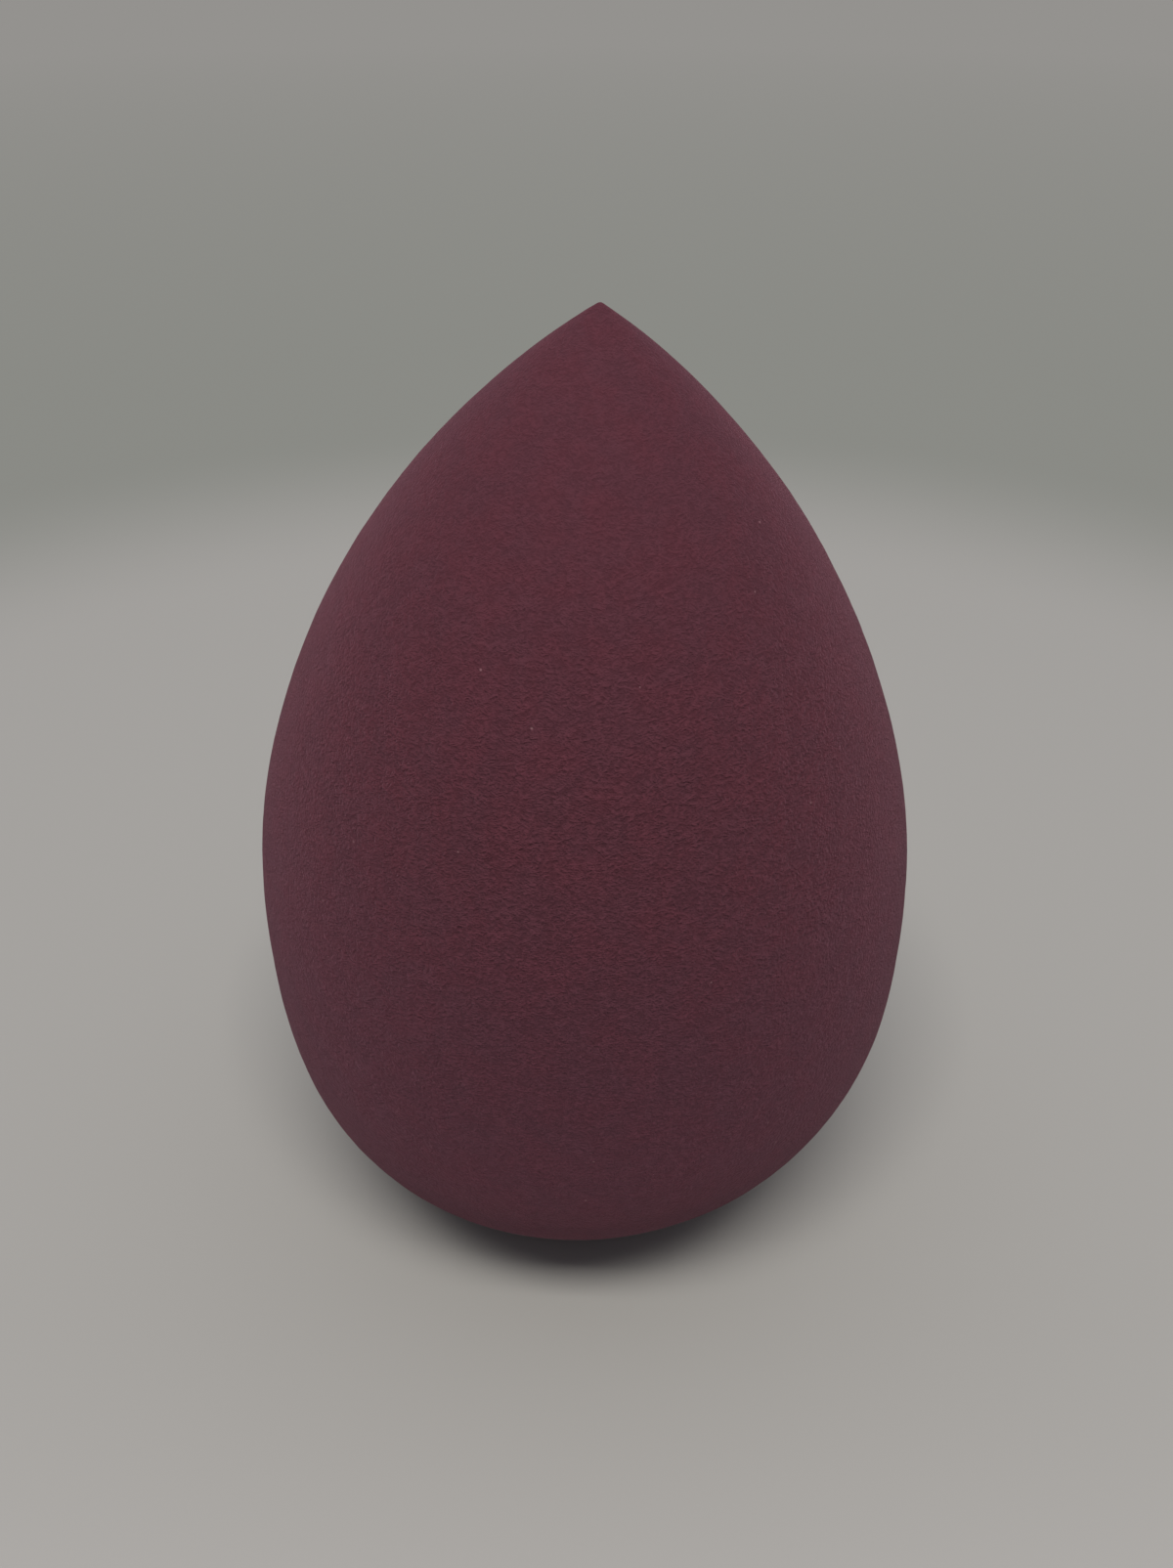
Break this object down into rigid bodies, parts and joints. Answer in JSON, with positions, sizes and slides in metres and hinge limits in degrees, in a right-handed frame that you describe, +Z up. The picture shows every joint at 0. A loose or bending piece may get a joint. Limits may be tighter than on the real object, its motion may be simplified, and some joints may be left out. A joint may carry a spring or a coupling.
{
  "type": "makeup sponge",
  "caption": "Pointed egg of fine burgundy foam for blending makeup, round at the base with a tapered tip, standing upright on a small flat.",
  "frame": {"origin": "middle of the small flat that the sponge stands on, level with the surface under it", "axes": "+Z up along the sponge's own axis, from the flat to the tip; the sponge is round about +Z"},
  "size_m": [0.042, 0.042, 0.06],
  "materials": {
    "foam": "matt burgundy fine-cell polyurethane foam with a soft ground surface"
  },
  "bodies": {
    "root": {"foam_body": "foam"}
  },
  "joints": []
}
